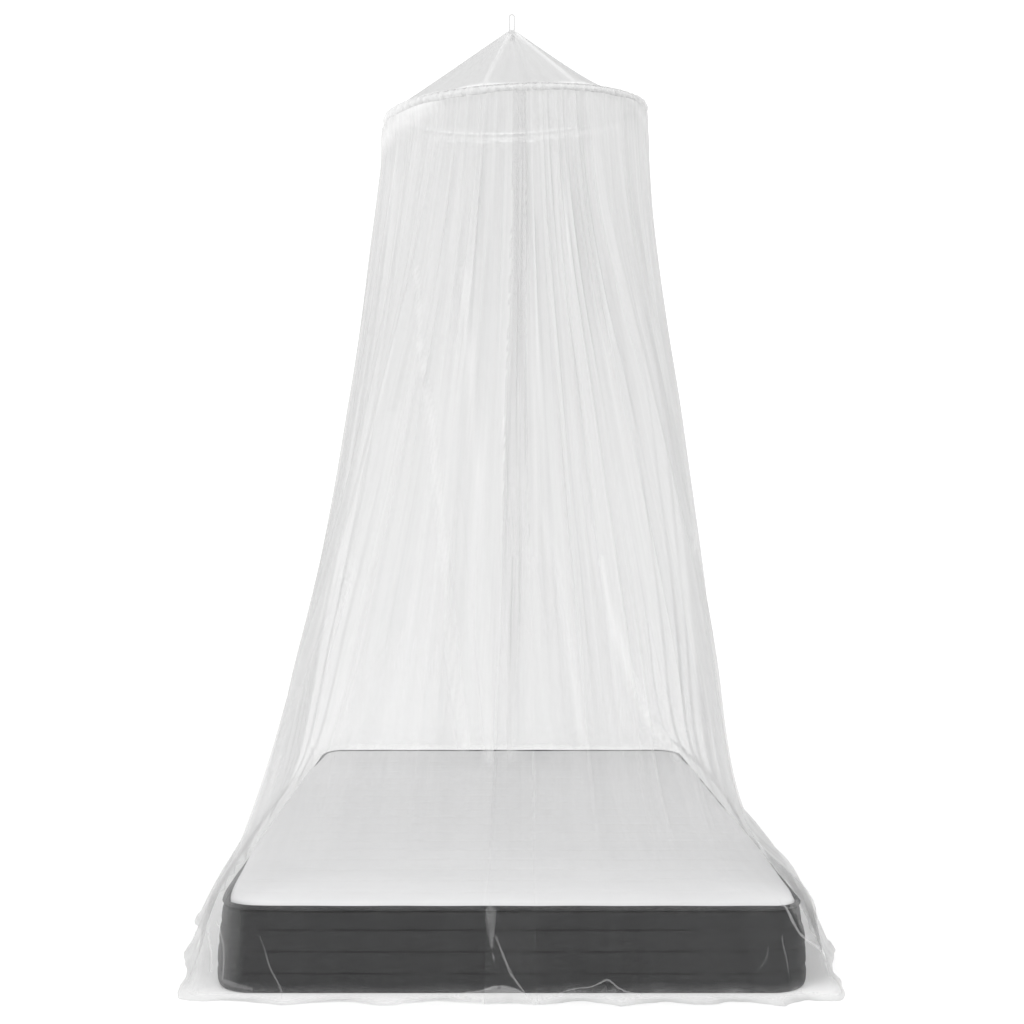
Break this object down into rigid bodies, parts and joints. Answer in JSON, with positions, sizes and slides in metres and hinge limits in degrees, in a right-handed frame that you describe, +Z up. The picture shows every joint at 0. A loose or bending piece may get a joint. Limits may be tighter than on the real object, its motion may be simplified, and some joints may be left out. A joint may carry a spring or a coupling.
{
  "type": "round mosquito net canopy with its hoop, over a mattress",
  "caption": "Round sheer white mosquito net canopy, gathered on a hoop under a peaked crown with a hanging loop, falling in folds over the edges of a dark-sided mattress",
  "frame": {"origin": "on the floor under the middle of the mattress, in the plane of its underside", "axes": "+Z up towards the hanging loop, -Y the end where the net's two edges lap as the way in, +X to the right seen from there"},
  "size_m": [1.5093, 2.1828, 2.324],
  "materials": {
    "net": "matte sheer net",
    "tape": "matte woven tape",
    "rod": "satin",
    "border_cloth": "matte knitted cloth",
    "piping": "matte corded edge",
    "top_cloth": "matte quilted cloth"
  },
  "bodies": {
    "root": {"net_wall": "net", "net_crown": "net", "hoop_sleeve": "net", "hoop": "rod", "tape_front_left": "tape", "tape_front_right": "tape", "tape_back_left": "tape", "tape_back_right": "tape", "hanging_loop": "tape", "mattress_border": "border_cloth", "mattress_piping": "piping", "mattress_top": "top_cloth"}
  },
  "joints": []
}
